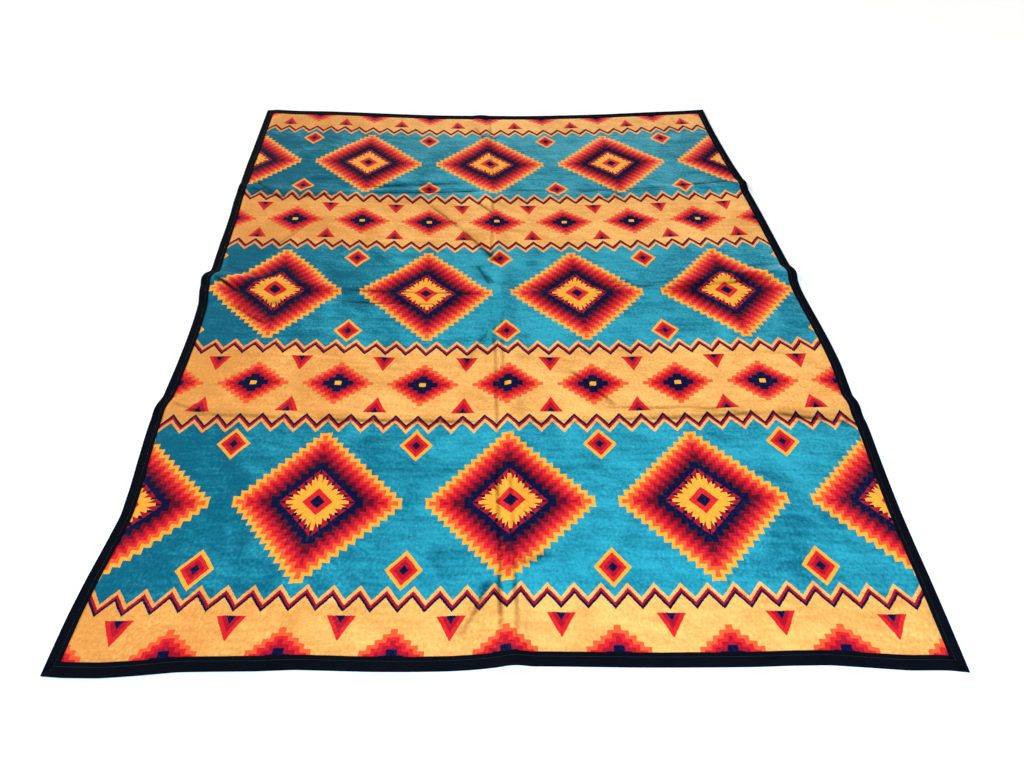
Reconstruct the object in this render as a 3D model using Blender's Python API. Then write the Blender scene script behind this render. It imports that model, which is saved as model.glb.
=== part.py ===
"""A plush blanket laid out face up: one cloth panel with the fold marks left by its pack, and a tape
binding of four mitred strips that wraps its edges. Metres, +Z up, +Y to the far edge, origin on the
ground under the middle.

The cloth has two flat coordinates, across (left to right) and along (near to far), both measured from
the middle of the cut. The side tables push each side in or out, and the fold marks lift the cloth.
"""

import bmesh
import bpy
from mathutils import Vector

MM = 0.001

# Cut of the blanket, with its binding
WIDTH = 2.007
LENGTH = 2.438
HALF_WIDTH = WIDTH / 2
HALF_LENGTH = LENGTH / 2

# Cloth and tape
PLUSH = 6.0 * MM  # the cloth with its pile, where it lies free
PINCHED = 2.6 * MM  # the same cloth under the binding's stitches
TAPE = 1.2 * MM
TAPE_WIDTH = 32 * MM  # what shows of the tape on each face
FOLD_ROUND = 2.2 * MM  # how far in the tape's outer fold is rounded
GAP = 0.3 * MM
PUFF = 13 * MM  # where the pile has risen to its full height inside the tape

# Heights through the bound edge
PANEL_LOW = TAPE + GAP
PANEL_HIGH = PANEL_LOW + PINCHED
EDGE_HIGH = PANEL_HIGH + GAP + TAPE
MITRE = GAP / 2**0.5

# Mesh
CELL = 85 * MM  # widest spacing of the cloth's grid lines
CLEAR_OF_FOLD = 28 * MM  # how near an even grid line may stand to a line that must be there
LEAST_CELL = 14 * MM
FOLD_STEP = 0.5  # spacing of the grid lines over a fold mark, in shares of its spread

# How far each side lies outside the straight cut: the place on that side in metres, and the outward
# shift in millimetres
LEFT_SIDE = (
    # along, out
    (-1.219, -16),
    (-1.100, -21),
    (-0.980, -33),
    (-0.840, -52),
    (-0.740, -46),
    (-0.620, -34),
    (-0.515, -29),
    (-0.465, -37),
    (-0.300, -40),
    (-0.150, -37),
    (-0.020, -25),
    (0.050, -14),
    (0.095, -27),
    (0.200, -22),
    (0.400, -15),
    (0.540, -4),
    (0.600, -6),
    (0.700, 1),
    (0.900, 5),
    (1.219, 13),
)
RIGHT_SIDE = (
    # along, out
    (-1.219, 9),
    (-1.050, 16),
    (-0.850, 21),
    (-0.700, 31),
    (-0.550, 43),
    (-0.500, 37),
    (-0.330, 50),
    (-0.180, 46),
    (-0.010, 37),
    (0.080, 42),
    (0.120, 37),
    (0.250, 31),
    (0.450, 23),
    (0.600, 14),
    (0.650, 14),
    (0.730, 4),
    (0.880, -8),
    (1.040, -18),
    (1.219, -22),
)
NEAR_SIDE = (
    # across, out
    (-1.004, -4),
    (-0.930, 0),
    (-0.830, -3),
    (-0.720, -14),
    (-0.550, -17),
    (-0.460, -21),
    (-0.300, -18),
    (-0.100, -21),
    (0.015, -31),
    (0.300, -31),
    (0.550, -34),
    (0.700, -39),
    (0.880, -29),
    (0.930, -32),
    (1.004, -26),
)
FAR_SIDE = (
    # across, out
    (-1.004, -9),
    (-0.950, -2),
    (-0.880, -12),
    (-0.700, -18),
    (-0.550, -29),
    (-0.380, -42),
    (-0.200, -53),
    (0.000, -55),
    (0.160, -57),
    (0.360, -50),
    (0.500, -42),
    (0.620, -32),
    (0.780, -17),
    (0.900, -8),
    (1.004, 5),
)

# Ridges that the folded pack left. A crosswise one runs left to right, with its places along, and a
# lengthwise one runs near to far, with its places across. Spread and places are in metres, and rises
# in millimetres. Places and rises stand at equal steps from the ridge's first end to its last.
FOLD_MARKS = (
    # runs, spread, places, rises
    ("crosswise", 0.045, (-0.490, -0.535, -0.545, -0.515, -0.495), (8, 4, 4, 6, 12)),
    ("crosswise", 0.040, (-0.020, -0.070, -0.060, -0.030, 0.000), (10, 5, 2, 0, 0)),
    ("crosswise", 0.045, (0.065, 0.005, -0.010, 0.020, 0.090), (18, 5, 5, 4, 11)),
    ("crosswise", 0.045, (0.600, 0.565, 0.575, 0.585, 0.620), (8, 6, 4, 4, 10)),
    ("lengthwise", 0.045, (0.020, 0.016, 0.010, -0.010, -0.020), (12, 8, 6, 5, 3)),
)

BINDING = (
    # strip, lengthwise, side
    ("binding_front", False, -1),
    ("binding_back", False, 1),
    ("binding_left", True, -1),
    ("binding_right", True, 1),
)

CLOTH_COLOUR = (0.012, 0.262, 0.412, 1.0)
CLOTH_ROUGHNESS = 0.95
TAPE_COLOUR = (0.004, 0.004, 0.007, 1.0)
TAPE_ROUGHNESS = 0.8


def clear_scene():
    for found in list(bpy.data.objects):
        bpy.data.objects.remove(found, do_unlink=True)


def material(name, colour, roughness):
    made = bpy.data.materials.new(name)
    made.use_nodes = True
    shader = made.node_tree.nodes["Principled BSDF"]
    shader.inputs["Base Color"].default_value = colour
    shader.inputs["Roughness"].default_value = roughness
    shader.inputs["Metallic"].default_value = 0.0
    made.diffuse_color = colour
    return made


def clamp(value, most):
    return max(-most, min(most, value))


def smooth(share):
    share = max(0.0, min(1.0, share))
    return share * share * (3 - 2 * share)


def through(rows, place):
    """The height at place of a smooth curve through (place, height) rows, level past both ends."""
    place = max(rows[0][0], min(rows[-1][0], place))
    after = next(i for i in range(1, len(rows)) if place <= rows[i][0])
    before = after - 1

    def slope(i):
        low, high = rows[max(i - 1, 0)], rows[min(i + 1, len(rows) - 1)]
        return (high[1] - low[1]) / (high[0] - low[0])

    (start, first), (end, last) = rows[before], rows[after]
    span = end - start
    share = (place - start) / span
    rest = 1 - share
    level = first * (1 + 2 * share) * rest**2 + last * (3 - 2 * share) * share**2
    return level + span * share * rest * (slope(before) * rest - slope(after) * share)


def on_ground(across, along):
    """Where a point of the flat cut lies in plan, once each side is pushed to its own line."""
    to_right = across / WIDTH + 0.5
    to_far = along / LENGTH + 0.5
    left, right = through(LEFT_SIDE, along), through(RIGHT_SIDE, along)
    near, far = through(NEAR_SIDE, across), through(FAR_SIDE, across)
    x = across + MM * (right * to_right - left * (1 - to_right))
    y = along + MM * (far * to_far - near * (1 - to_far))
    return x, y


def at_step(values, half, place):
    """The value at a place on a run from -half to half, along which the values stand at equal steps."""
    steps = len(values) - 1
    return through([(half * (2 * i / steps - 1), value) for i, value in enumerate(values)], place)


def lift(across, along):
    """How far the underside stands off the ground. The stiff bound edge lifts as one over its width."""
    across = clamp(across, HALF_WIDTH - TAPE_WIDTH - PUFF)
    along = clamp(along, HALF_LENGTH - TAPE_WIDTH - PUFF)
    height = 0.0
    for runs, spread, places, rises in FOLD_MARKS:
        crosswise = runs == "crosswise"
        off, on = (along, across) if crosswise else (across, along)
        half = HALF_WIDTH if crosswise else HALF_LENGTH
        share = (off - at_step(places, half, on)) / spread
        if abs(share) < 1:
            height += max(0.0, at_step(rises, half, on)) * MM * (1 - share**2) ** 2
    return height


def laid(across, along, height):
    x, y = on_ground(across, along)
    return Vector((x, y, lift(across, along) + height))


def panel_face(inset, free, pinched):
    """A face's height over the lifted ground line: pinched under the tape, free past the puff."""
    share = smooth((inset - TAPE_WIDTH - GAP) / PUFF)
    return pinched + (free - pinched) * share


def grid_lines(half, runs):
    """The cloth's grid lines from one edge to the other, closer over the fold marks that run this way."""
    mouth = TAPE_WIDTH + GAP
    insets = (TAPE + GAP, mouth, mouth + PUFF / 2, mouth + PUFF)
    edges = [side * (half - inset) for inset in insets for side in (-1, 1)]
    folds = []
    for mark_runs, spread, places, _ in FOLD_MARKS:
        if mark_runs == runs:
            first, last = min(places) - spread, max(places) + spread
            count = round((last - first) / (FOLD_STEP * spread))
            folds += [first + (last - first) * i / count for i in range(count + 1)]
    fixed = edges + folds
    inner = half - insets[-1]
    cells = round(2 * inner / CELL)
    even = [inner * (2 * i / cells - 1) for i in range(1, cells)]
    lines = sorted(edges)
    for line in folds:
        if min(abs(line - other) for other in lines) > LEAST_CELL:
            lines.append(line)
    for line in even:
        if min(abs(line - other) for other in fixed) > CLEAR_OF_FOLD:
            lines.append(line)
    return sorted(lines)


def finished(name, built, skin):
    bmesh.ops.recalc_face_normals(built, faces=built.faces)
    mesh = bpy.data.meshes.new(name)
    built.to_mesh(mesh)
    built.free()
    mesh.shade_smooth()
    mesh.materials.append(skin)
    made = bpy.data.objects.new(name, mesh)
    bpy.context.scene.collection.objects.link(made)
    return made


def cloth_panel(skin):
    """The plush sheet: a top and an underside on one grid, joined round the edge that the tape hides."""
    built = bmesh.new()
    acrosses = grid_lines(HALF_WIDTH, "lengthwise")
    alongs = grid_lines(HALF_LENGTH, "crosswise")
    tops, lows = [], []
    for along in alongs:
        top_row, low_row = [], []
        for across in acrosses:
            inset = min(HALF_WIDTH - abs(across), HALF_LENGTH - abs(along))
            top = panel_face(inset, PLUSH, PANEL_HIGH)
            low = panel_face(inset, 0.0, PANEL_LOW)
            top_row.append(built.verts.new(laid(across, along, top)))
            low_row.append(built.verts.new(laid(across, along, low)))
        tops.append(top_row)
        lows.append(low_row)
    for grid in (tops, lows):
        for row, next_row in zip(grid, grid[1:]):
            for i in range(len(row) - 1):
                built.faces.new((row[i], row[i + 1], next_row[i + 1], next_row[i]))
    top_rim, low_rim = rim(tops), rim(lows)
    for i in range(len(top_rim)):
        built.faces.new((top_rim[i - 1], top_rim[i], low_rim[i], low_rim[i - 1]))
    return finished("plush_panel", built, skin)


def rim(grid):
    """The corners round a grid, in order."""
    right = [row[-1] for row in grid[1:-1]]
    left = [row[0] for row in grid[1:-1]]
    return grid[0] + right + grid[-1][::-1] + left[::-1]


def tape_section():
    """The folded tape's section as (inset, height) corners: underside, inside, top, rounded outer fold."""
    middle = EDGE_HIGH / 2
    bulge = FOLD_ROUND / 4
    return (
        (TAPE_WIDTH, 0.0),
        (TAPE_WIDTH, TAPE),
        (TAPE, TAPE),
        (TAPE, EDGE_HIGH - TAPE),
        (TAPE_WIDTH, EDGE_HIGH - TAPE),
        (TAPE_WIDTH, EDGE_HIGH),
        (FOLD_ROUND, EDGE_HIGH),
        (bulge, middle + middle / 2),
        (0.0, middle),
        (bulge, middle - middle / 2),
        (FOLD_ROUND, 0.0),
    )


def binding_strip(name, lengthwise, side, skin):
    """One side's tape, mitred at both ends. side is -1 on the near and left sides, 1 on the others."""
    half_run = HALF_LENGTH if lengthwise else HALF_WIDTH
    half_off = HALF_WIDTH if lengthwise else HALF_LENGTH
    lines = grid_lines(half_run, "crosswise" if lengthwise else "lengthwise")
    inner = [line for line in lines if half_run - abs(line) > TAPE_WIDTH + 2 * GAP]
    section = tape_section()
    built = bmesh.new()
    rings = []
    for station in range(len(inner) + 2):
        ring = []
        for inset, height in section:
            mitred = half_run - inset - MITRE
            run = [-mitred, *inner, mitred][station]
            off = side * (half_off - inset)
            across, along = (off, run) if lengthwise else (run, off)
            ring.append(built.verts.new(laid(across, along, height)))
        rings.append(ring)
    for ring, next_ring in zip(rings, rings[1:]):
        for i in range(len(section)):
            built.faces.new((ring[i - 1], ring[i], next_ring[i], next_ring[i - 1]))
    built.faces.new(rings[0])
    built.faces.new(rings[-1])
    return finished(name, built, skin)


def centre_on_origin(pieces):
    """Moves the pieces' meshes so that the middle of their common box is over the origin."""
    corners = [point.co for piece in pieces for point in piece.data.vertices]
    shift = Vector((0, 0, 0))
    for axis in (0, 1):
        values = [corner[axis] for corner in corners]
        shift[axis] = -(min(values) + max(values)) / 2
    for piece in pieces:
        for point in piece.data.vertices:
            point.co += shift


def main():
    clear_scene()
    pieces = [cloth_panel(material("printed plush", CLOTH_COLOUR, CLOTH_ROUGHNESS))]
    for name, lengthwise, side in BINDING:
        skin = material(name.replace("_", " ") + " tape", TAPE_COLOUR, TAPE_ROUGHNESS)
        pieces.append(binding_strip(name, lengthwise, side, skin))
    centre_on_origin(pieces)


main()
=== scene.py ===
"""The looks of a plush throw blanket, laid out face up on a pale floor.

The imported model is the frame. Its binding gives the blanket's outline, and everything that shows is made
here: the printed pile with its fold marks and creases, the tape binding, and the stitches that hold it.

Metres, +Z up, +Y to the far edge, origin on the ground under the middle. The flat cloth has two
coordinates, across (left to right) and along (near to far), both measured from the middle of the cut.
"""

import math
from functools import partialmethod

import bmesh
import bpy
import numpy as np
from bpy.props import FloatProperty, FloatVectorProperty, IntProperty, PointerProperty
from bpy.types import Operator, Panel, PropertyGroup
from mathutils import Matrix, Vector, noise


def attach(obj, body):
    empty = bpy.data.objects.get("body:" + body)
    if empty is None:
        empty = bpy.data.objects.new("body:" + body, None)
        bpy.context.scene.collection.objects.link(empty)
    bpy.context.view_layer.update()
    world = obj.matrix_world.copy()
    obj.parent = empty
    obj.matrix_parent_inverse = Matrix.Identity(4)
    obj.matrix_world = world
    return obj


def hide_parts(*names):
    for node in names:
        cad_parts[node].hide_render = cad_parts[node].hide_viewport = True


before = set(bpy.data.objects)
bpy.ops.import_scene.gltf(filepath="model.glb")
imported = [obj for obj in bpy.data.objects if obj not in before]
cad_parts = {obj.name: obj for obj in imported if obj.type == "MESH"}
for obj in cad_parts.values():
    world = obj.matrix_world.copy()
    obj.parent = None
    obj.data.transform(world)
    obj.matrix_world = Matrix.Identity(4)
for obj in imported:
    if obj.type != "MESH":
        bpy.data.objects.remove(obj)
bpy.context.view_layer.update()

bl_info = {
    "name": "Plush Throw Blanket",
    "version": (1, 0, 0),
    "blender": (4, 5, 0),
    "location": "3D View > Sidebar > Blanket",
    "description": "A printed plush blanket with a tape binding, laid out on a floor",
    "category": "Object",
}

MM = 0.001
CUT_WIDTH = 2.007
CUT_LENGTH = 2.438
HALF_WIDTH = CUT_WIDTH / 2
HALF_LENGTH = CUT_LENGTH / 2
GAP = 0.3 * MM  # between the cloth and the tape that wraps it
MITRE = 0.03 * MM  # half the gap between two strips at a corner

# Ridges that the folded pack left, as in the solid, and a shoulder below the one at the left notch. A
# crosswise one runs left to right, with its places along, and a lengthwise one near to far, with its
# places across. Spread and places are in metres, and rises in millimetres. Places and rises stand at
# equal steps from the ridge's first end to its last.
FOLD_MARKS = (
    # runs, spread, places, rises
    ("crosswise", 0.045, (-0.490, -0.535, -0.545, -0.515, -0.495), (8, 4, 4, 6, 12)),
    ("crosswise", 0.040, (-0.020, -0.070, -0.060, -0.030, 0.000), (10, 5, 2, 0, 0)),
    ("crosswise", 0.045, (0.065, 0.005, -0.010, 0.020, 0.090), (18, 5, 5, 4, 11)),
    ("crosswise", 0.050, (0.022, -0.040, -0.050, -0.050, -0.050), (10, 0, 0, 0, 0)),
    ("crosswise", 0.045, (0.600, 0.565, 0.575, 0.585, 0.620), (8, 6, 4, 4, 10)),
    ("lengthwise", 0.045, (0.020, 0.016, 0.010, -0.010, -0.020), (12, 8, 6, 5, 3)),
)

# Creases pressed into the pile, listed on the ground, in millimetres. A rise below zero is a
# trough. Reach is how far a crease spreads to each side.
CREASES = (
    # from x, from y, to x, to y, reach, rise
    # the middle fold, a double line that fans out at the left edge
    (-560, -2, -20, -24, 15, -3.0),
    (-560, -30, -20, -48, 16, 2.2),
    (-540, -60, -80, -74, 15, -3.0),
    (-975, 60, -770, -80, 20, -5.0),
    (-965, 10, -880, -72, 20, 3.5),
    (-880, -70, -740, -165, 18, -3.5),
    (-800, -72, -560, -60, 18, -2.5),
    (-940, -40, -720, -110, 16, 2.5),
    (-960, 130, -800, 60, 22, -2.0),
    (-700, 20, -520, -4, 16, -2.0),
    (20, 6, 300, 26, 14, -1.4),
    (270, 22, 560, 26, 18, -2.2),
    (300, 48, 740, 44, 18, -1.8),
    (520, 5, 960, 66, 20, -2.2),
    (700, 70, 990, 104, 18, 2.4),
    # the far fold
    (-540, 552, -20, 572, 15, -3.0),
    (-540, 600, -110, 628, 16, -2.4),
    (-530, 576, -60, 596, 14, 1.8),
    (-980, 584, -800, 528, 18, -3.2),
    (-970, 645, -815, 508, 16, -3.0),
    (-970, 530, -890, 596, 16, -2.6),
    (-780, 656, -440, 654, 16, -1.6),
    (-800, 530, -540, 552, 15, -2.0),
    (30, 574, 300, 572, 14, -1.2),
    (270, 570, 730, 602, 17, -2.0),
    (385, 522, 510, 552, 14, -1.4),
    (700, 604, 985, 650, 18, -2.4),
    # the near fold
    (-560, -538, -20, -544, 15, -2.8),
    (-900, -520, -560, -536, 17, -2.2),
    (-985, -470, -820, -530, 18, -2.6),
    (-420, -566, -90, -572, 14, 1.6),
    (30, -546, 280, -540, 14, -1.4),
    (270, -540, 770, -506, 17, -2.4),
    (270, -488, 670, -494, 15, -1.8),
    (760, -508, 1015, -540, 18, -3.0),
    # slanting creases near the middle
    (-262, 494, -120, 324, 13, -2.6),
    (-136, 346, 30, 112, 14, -3.4),
    (-76, 512, 2, 408, 13, -3.0),
    (-156, 550, -108, 486, 12, -1.4),
    (-72, 128, -22, 22, 12, -2.6),
    (-48, 84, -6, 30, 10, -2.0),
    (200, -338, 345, -494, 14, -2.2),
    (-122, -364, -28, -176, 14, -2.0),
    (-810, 206, -690, 384, 18, -1.8),
    (-88, 1076, -24, 918, 16, -2.0),
    (-112, -1140, -26, -988, 15, -2.2),
    (-30, -996, 118, -920, 14, -1.8),
    # the lengthwise fold, as thin lines side by side
    (-14, -1180, -12, -600, 8, -2.6),
    (24, -1180, 20, -640, 8, -2.4),
    (-10, -620, -14, -120, 8, -1.8),
    (14, -500, 10, -80, 8, -1.6),
    (-20, 90, -8, 560, 9, -1.8),
    (-6, 620, -16, 1160, 9, -1.6),
    (16, 640, 6, 1020, 8, -1.2),
    # long soft waves of the cloth
    (-960, -1020, -420, -900, 60, 2.0),
    (-900, -260, -300, -330, 70, 2.0),
    (300, -820, 960, -760, 70, 1.8),
    (380, 300, 920, 230, 70, 1.8),
    (-880, 860, -300, 900, 60, 1.8),
    (340, 900, 860, 980, 60, 1.6),
)
FINE_ZONES_ALONG = ((-0.520, 0.075), (-0.010, 0.115), (0.590, 0.085))  # middle, half width
FINE_ZONES_ACROSS = ((0.000, 0.055),)
LINE_REACH = 15 * MM  # how far off a crease its thin line can still show
LINE_FADE = 6 * MM  # and over how much of that it fades out
FADE = 0.2  # share of a crease over which each end fades out
USUAL_STRENGTH = 0.75  # of a crease, before soft noise varies it
CREASE_SHADE_REACH = 1.7  # how far the broad painted shade beside a crease spreads, in reaches of the crease
TROUGH_SHADE = 1 / 3  # how strong the painted shade is for each millimetre of a trough
RIDGE_HIGHLIGHT = 1 / 8  # and how strong the painted highlight is for each millimetre of a ridge

# Soft noise: the width of its swings, its seed and its height. Each strip of tape adds its own seed.
WANDER = (0.07, 3.0, 4 * MM)
STRENGTH = (0.11, 9.0, 0.6)
FINE_SWELL = (0.045, 5.0, 0.6)
BROAD_SWELL = (0.16, 7.0, 1.0)
FINE_PULL = (0.021, 11.0, 0.5)
BROAD_PULL = (0.075, 41.0, 1.0)
PUCKERS = (0.012, 71.0, 0.30 * MM)
FOLD_WEAR = (0.05, 101.0, 0.8)

LAST_UNDER = 6 * MM  # from the tape's inner edge to the last grid line under it
PUFF_LINES = (0.0, 0.2, 0.45, 0.7, 1.0)  # grid lines over the puff, in shares of it
RELIEF_RISE = 1.6  # puff widths over which the pile's relief sets in from the tape
THINNEST = 0.8  # of the pinched cloth, at the bottom of the deepest crease
LIP = 0.45  # radius of the tape's rolled lip, in tape thicknesses
FOLD_REACH = 3 * MM  # how far in from the fold the tape is worn
LEAST_WORN = 0.6
SEAM_REACH = 1.8 * MM  # how far the seam's dip spreads
PUCKER_REACH = 9 * MM  # how far from the seam the tape puckers
END_GAP = 2 * MM  # between a strip's mitre and the first of its even rings
STITCH_SIZES = (0.88, 1.06)  # smallest and largest, in stitch lengths
STITCH_SUNK = 0.2  # how deep a stitch lies in the tape, in thread thicknesses


def screen_colour(red, green, blue):
    """A colour given as it shows on a screen, from 0 to 255, as the linear values that shaders take."""
    linear = []
    for level in (red, green, blue):
        share = level / 255
        linear.append(share / 12.92 if share <= 0.04045 else ((share + 0.055) / 1.055) ** 2.4)
    return (*linear, 1.0)


def smooth(share):
    share = np.clip(share, 0.0, 1.0)
    return share * share * (3 - 2 * share)


def bell(distance, reach):
    """One in the middle and nothing from reach on, with soft shoulders."""
    return np.clip(1 - (distance / reach) ** 2, 0.0, 1.0) ** 2


def through(places, heights, at):
    """Heights at some places of a smooth curve through given points, level past both ends."""
    places, heights = np.asarray(places, float), np.asarray(heights, float)
    slopes = np.empty_like(heights)
    slopes[1:-1] = (heights[2:] - heights[:-2]) / (places[2:] - places[:-2])
    slopes[0] = (heights[1] - heights[0]) / (places[1] - places[0])
    slopes[-1] = (heights[-1] - heights[-2]) / (places[-1] - places[-2])
    at = np.clip(at, places[0], places[-1])
    before = np.clip(np.searchsorted(places, at, side="right") - 1, 0, len(places) - 2)
    span = places[before + 1] - places[before]
    share = (at - places[before]) / span
    rest = 1 - share
    level = heights[before] * (1 + 2 * share) * rest**2
    level = level + heights[before + 1] * (3 - 2 * share) * share**2
    return level + span * share * rest * (slopes[before] * rest - slopes[before + 1] * share)


def at_step(values, half, at):
    """Values at some places of a run from -half to half, along which the given ones stand at equal steps."""
    return through(np.linspace(-half, half, len(values)), values, at)


def waver(x, y, size, seed, height):
    """Soft noise from about -height to height, whose swings are about size metres wide."""
    across, along = np.ravel(x) / size, np.ravel(y) / size
    found = [noise.noise(Vector((a, b, seed))) for a, b in zip(across, along)]
    return np.reshape(found, np.shape(x)) * height


class Layout:
    """Where the flat cut lies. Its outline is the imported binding's, and the fold marks lift it."""

    SAMPLE = 5 * MM
    SOFTENED = 11 * MM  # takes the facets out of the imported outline
    ROUNDS = 4  # each brings a point closer to where the four curved sides put it

    def __init__(self, bound):
        self.bound = bound  # the edge that lifts as one: the tape and the puff beside it
        self.left = self.side_line("binding_left", 1, min)
        self.right = self.side_line("binding_right", 1, max)
        self.near = self.side_line("binding_front", 0, min)
        self.far = self.side_line("binding_back", 0, max)

    def side_line(self, node, run, outermost):
        """The outer edge of a packed strip: places along its run, and how far out it reaches there."""
        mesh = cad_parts[node].data
        points = np.empty(len(mesh.vertices) * 3, np.float32)
        mesh.vertices.foreach_get("co", points)
        edges = np.empty(len(mesh.edges) * 2, np.int32)
        mesh.edges.foreach_get("vertices", edges)
        ends = points.reshape(-1, 3)[edges.reshape(-1, 2)].astype(float)
        first, last = ends[:, :, run].min(), ends[:, :, run].max()
        places = np.linspace(first, last, round((last - first) / self.SAMPLE))
        starts, stops = ends[:, 0], ends[:, 1]
        reaches = []
        for place in places:
            back, on = starts[:, run] - place, stops[:, run] - place
            crossed = (back * on <= 0) & (back != on)
            share = back[crossed] / (back - on)[crossed]
            reach = starts[crossed, 1 - run] * (1 - share) + stops[crossed, 1 - run] * share
            reaches.append(outermost(reach))
        span = round(3 * self.SOFTENED / self.SAMPLE)
        kernel = np.exp(-0.5 * (np.arange(-span, span + 1) * self.SAMPLE / self.SOFTENED) ** 2)
        # Each end is carried on in its own direction, so that softening leaves the corners in place.
        head = 2 * reaches[0] - np.array(reaches[span:0:-1])
        tail = 2 * reaches[-1] - np.array(reaches[-2 : -span - 2 : -1])
        carried = np.concatenate([head, reaches, tail])
        return places, np.convolve(carried, kernel / kernel.sum(), "valid")

    def on_ground(self, across, along):
        """Where points of the flat cut lie in plan."""
        to_right = across / CUT_WIDTH + 0.5
        to_far = along / CUT_LENGTH + 0.5
        x, y = across, along
        for _ in range(self.ROUNDS):
            x = (1 - to_right) * np.interp(y, *self.left) + to_right * np.interp(y, *self.right)
            y = (1 - to_far) * np.interp(x, *self.near) + to_far * np.interp(x, *self.far)
        return x, y

    def lift(self, across, along):
        """How far the underside stands off the ground. The stiff bound edge lifts as one."""
        across = np.clip(across, self.bound - HALF_WIDTH, HALF_WIDTH - self.bound)
        along = np.clip(along, self.bound - HALF_LENGTH, HALF_LENGTH - self.bound)
        height = np.zeros(np.shape(across))
        for runs, spread, places, rises in FOLD_MARKS:
            crosswise = runs == "crosswise"
            off, on = (along, across) if crosswise else (across, along)
            half = HALF_WIDTH if crosswise else HALF_LENGTH
            rise = np.maximum(0.0, at_step(rises, half, on)) * MM
            height = height + rise * bell(off - at_step(places, half, on), spread)
        return height


def crease_relief(x, y):
    """The creases' heights at points on the ground, how strong their broad painted shade is, and the nearest
    line.

    A line is how far off it each point lies, and how strong its painted shade is there, below zero on a
    ridge, where it is a painted highlight.
    """
    height, crease_shade, line_shade = (np.zeros(np.shape(x)) for _ in range(3))
    nearest, off_line = np.ones(np.shape(x)), np.ones(np.shape(x))
    wander = waver(x, y, *WANDER)
    strong = USUAL_STRENGTH + waver(x, y, *STRENGTH)
    for from_x, from_y, to_x, to_y, reach, rise in CREASES:
        start = np.array((from_x, from_y)) * MM
        run = np.array((to_x, to_y)) * MM - start
        length = math.hypot(*run)
        run = run / length
        on = (x - start[0]) * run[0] + (y - start[1]) * run[1]
        off = (y - start[1]) * run[0] - (x - start[0]) * run[1] + wander
        share = on / length
        strength = smooth(share / FADE) * smooth((1 - share) / FADE) * strong
        height += rise * MM * bell(off, reach * MM) * strength
        past_end = np.maximum(0.0, abs(on - length / 2) - length / 2)
        distance = np.hypot(off, past_end)
        closer = distance < nearest
        nearest = np.where(closer, distance, nearest)
        off_line = np.where(closer, off, off_line)
        # Painted shade beside a trough and along its line, and a painted highlight along a ridge's line
        depth = -rise * (TROUGH_SHADE if rise < 0 else RIDGE_HIGHLIGHT)
        crease_shade = np.maximum(crease_shade, depth * bell(off, CREASE_SHADE_REACH * reach * MM) * strength)
        line_shade = np.where(closer, depth * strength, line_shade)
    return height, crease_shade, off_line, line_shade * smooth((LINE_REACH - nearest) / LINE_FADE)


def grid_lines(half, insets, fine_zones, sizes):
    """Grid lines from edge to edge, set close in the fine zones."""
    inner = half - insets[-1]
    lines = [-inner]
    while lines[-1] < inner:
        fine = any(abs(lines[-1] - middle) < reach for middle, reach in fine_zones)
        lines.append(lines[-1] + (sizes.fine_cell if fine else sizes.wide_cell))
    if len(lines) % 2 == 0:
        lines.append(lines[-1] + sizes.wide_cell)
    lines = np.interp(lines, (lines[0], lines[-1]), (-inner, inner))
    edges = half - np.array(insets[:-1])
    return np.concatenate([-edges, lines, edges[::-1]])


def grid_faces(rows, columns, first=0):
    """Quads over a grid of points that are numbered row by row, facing up."""
    corner = first + np.arange(rows - 1)[:, None] * columns + np.arange(columns - 1)[None, :]
    quads = np.stack([corner, corner + 1, corner + columns + 1, corner + columns], axis=-1)
    return quads.reshape(-1, 4)


def rim(rows, columns):
    """The numbers of the points round a grid's edge, in order."""
    numbers = np.arange(rows * columns).reshape(rows, columns)
    return np.concatenate([numbers[0], numbers[1:-1, -1], numbers[-1, ::-1], numbers[-2:0:-1, 0]])


def placed(name, data):
    """A new object in the scene."""
    made = bpy.data.objects.new(name, data)
    bpy.context.scene.collection.objects.link(made)
    return made


def new_piece(name, points, faces, skin):
    """A smooth-shaded piece that moves with the blanket, with its faces turned outwards."""
    mesh = bpy.data.meshes.new(name)
    mesh.from_pydata(np.reshape(points, (-1, 3)).tolist(), [], [list(face) for face in faces])
    built = bmesh.new()
    built.from_mesh(mesh)
    bmesh.ops.recalc_face_normals(built, faces=built.faces)
    built.to_mesh(mesh)
    built.free()
    mesh.shade_smooth()
    mesh.materials.append(skin)
    piece = placed(name, mesh)
    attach(piece, "root")
    return piece


def add_map(mesh, name, across, along):
    """A UV map that holds each point's two flat coordinates, in metres."""
    corners = np.empty(len(mesh.loops), np.int32)
    mesh.loops.foreach_get("vertex_index", corners)
    flat = np.stack([np.ravel(across), np.ravel(along)], axis=-1)
    layer = mesh.uv_layers.new(name=name)
    layer.uv.foreach_set("vector", flat[corners].astype(np.float32).ravel())


def add_attribute(mesh, name, values):
    layer = mesh.attributes.new(name, "FLOAT", "POINT")
    layer.data.foreach_set("value", np.ravel(values).astype(np.float32))


def feed(tree, entry, value):
    """Links an input to a socket or a signal, or gives it a plain value."""
    source = getattr(value, "socket", value)
    if isinstance(source, bpy.types.NodeSocket):
        tree.links.new(source, entry)
    else:
        entry.default_value = source


def add_node(tree, kind, inputs=None, **settings):
    """A new node with its settings made and its inputs fed, each by its identifier or its name."""
    node = tree.nodes.new(kind)
    for name, value in settings.items():
        setattr(node, name, value)
    entries = {entry.name: entry for entry in node.inputs}
    entries.update({entry.identifier: entry for entry in node.inputs})
    for name, value in (inputs or {}).items():
        feed(tree, entries[name], value)
    return node


def output(node, identifier):
    return next(out for out in node.outputs if out.identifier == identifier)


def mixed(tree, under, over, where):
    """The colour over on the colour under, as far as the signal says."""
    inputs = {"Factor_Float": where, "A_Color": under, "B_Color": over}
    return output(add_node(tree, "ShaderNodeMix", inputs, data_type="RGBA"), "Result_Color")


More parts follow.
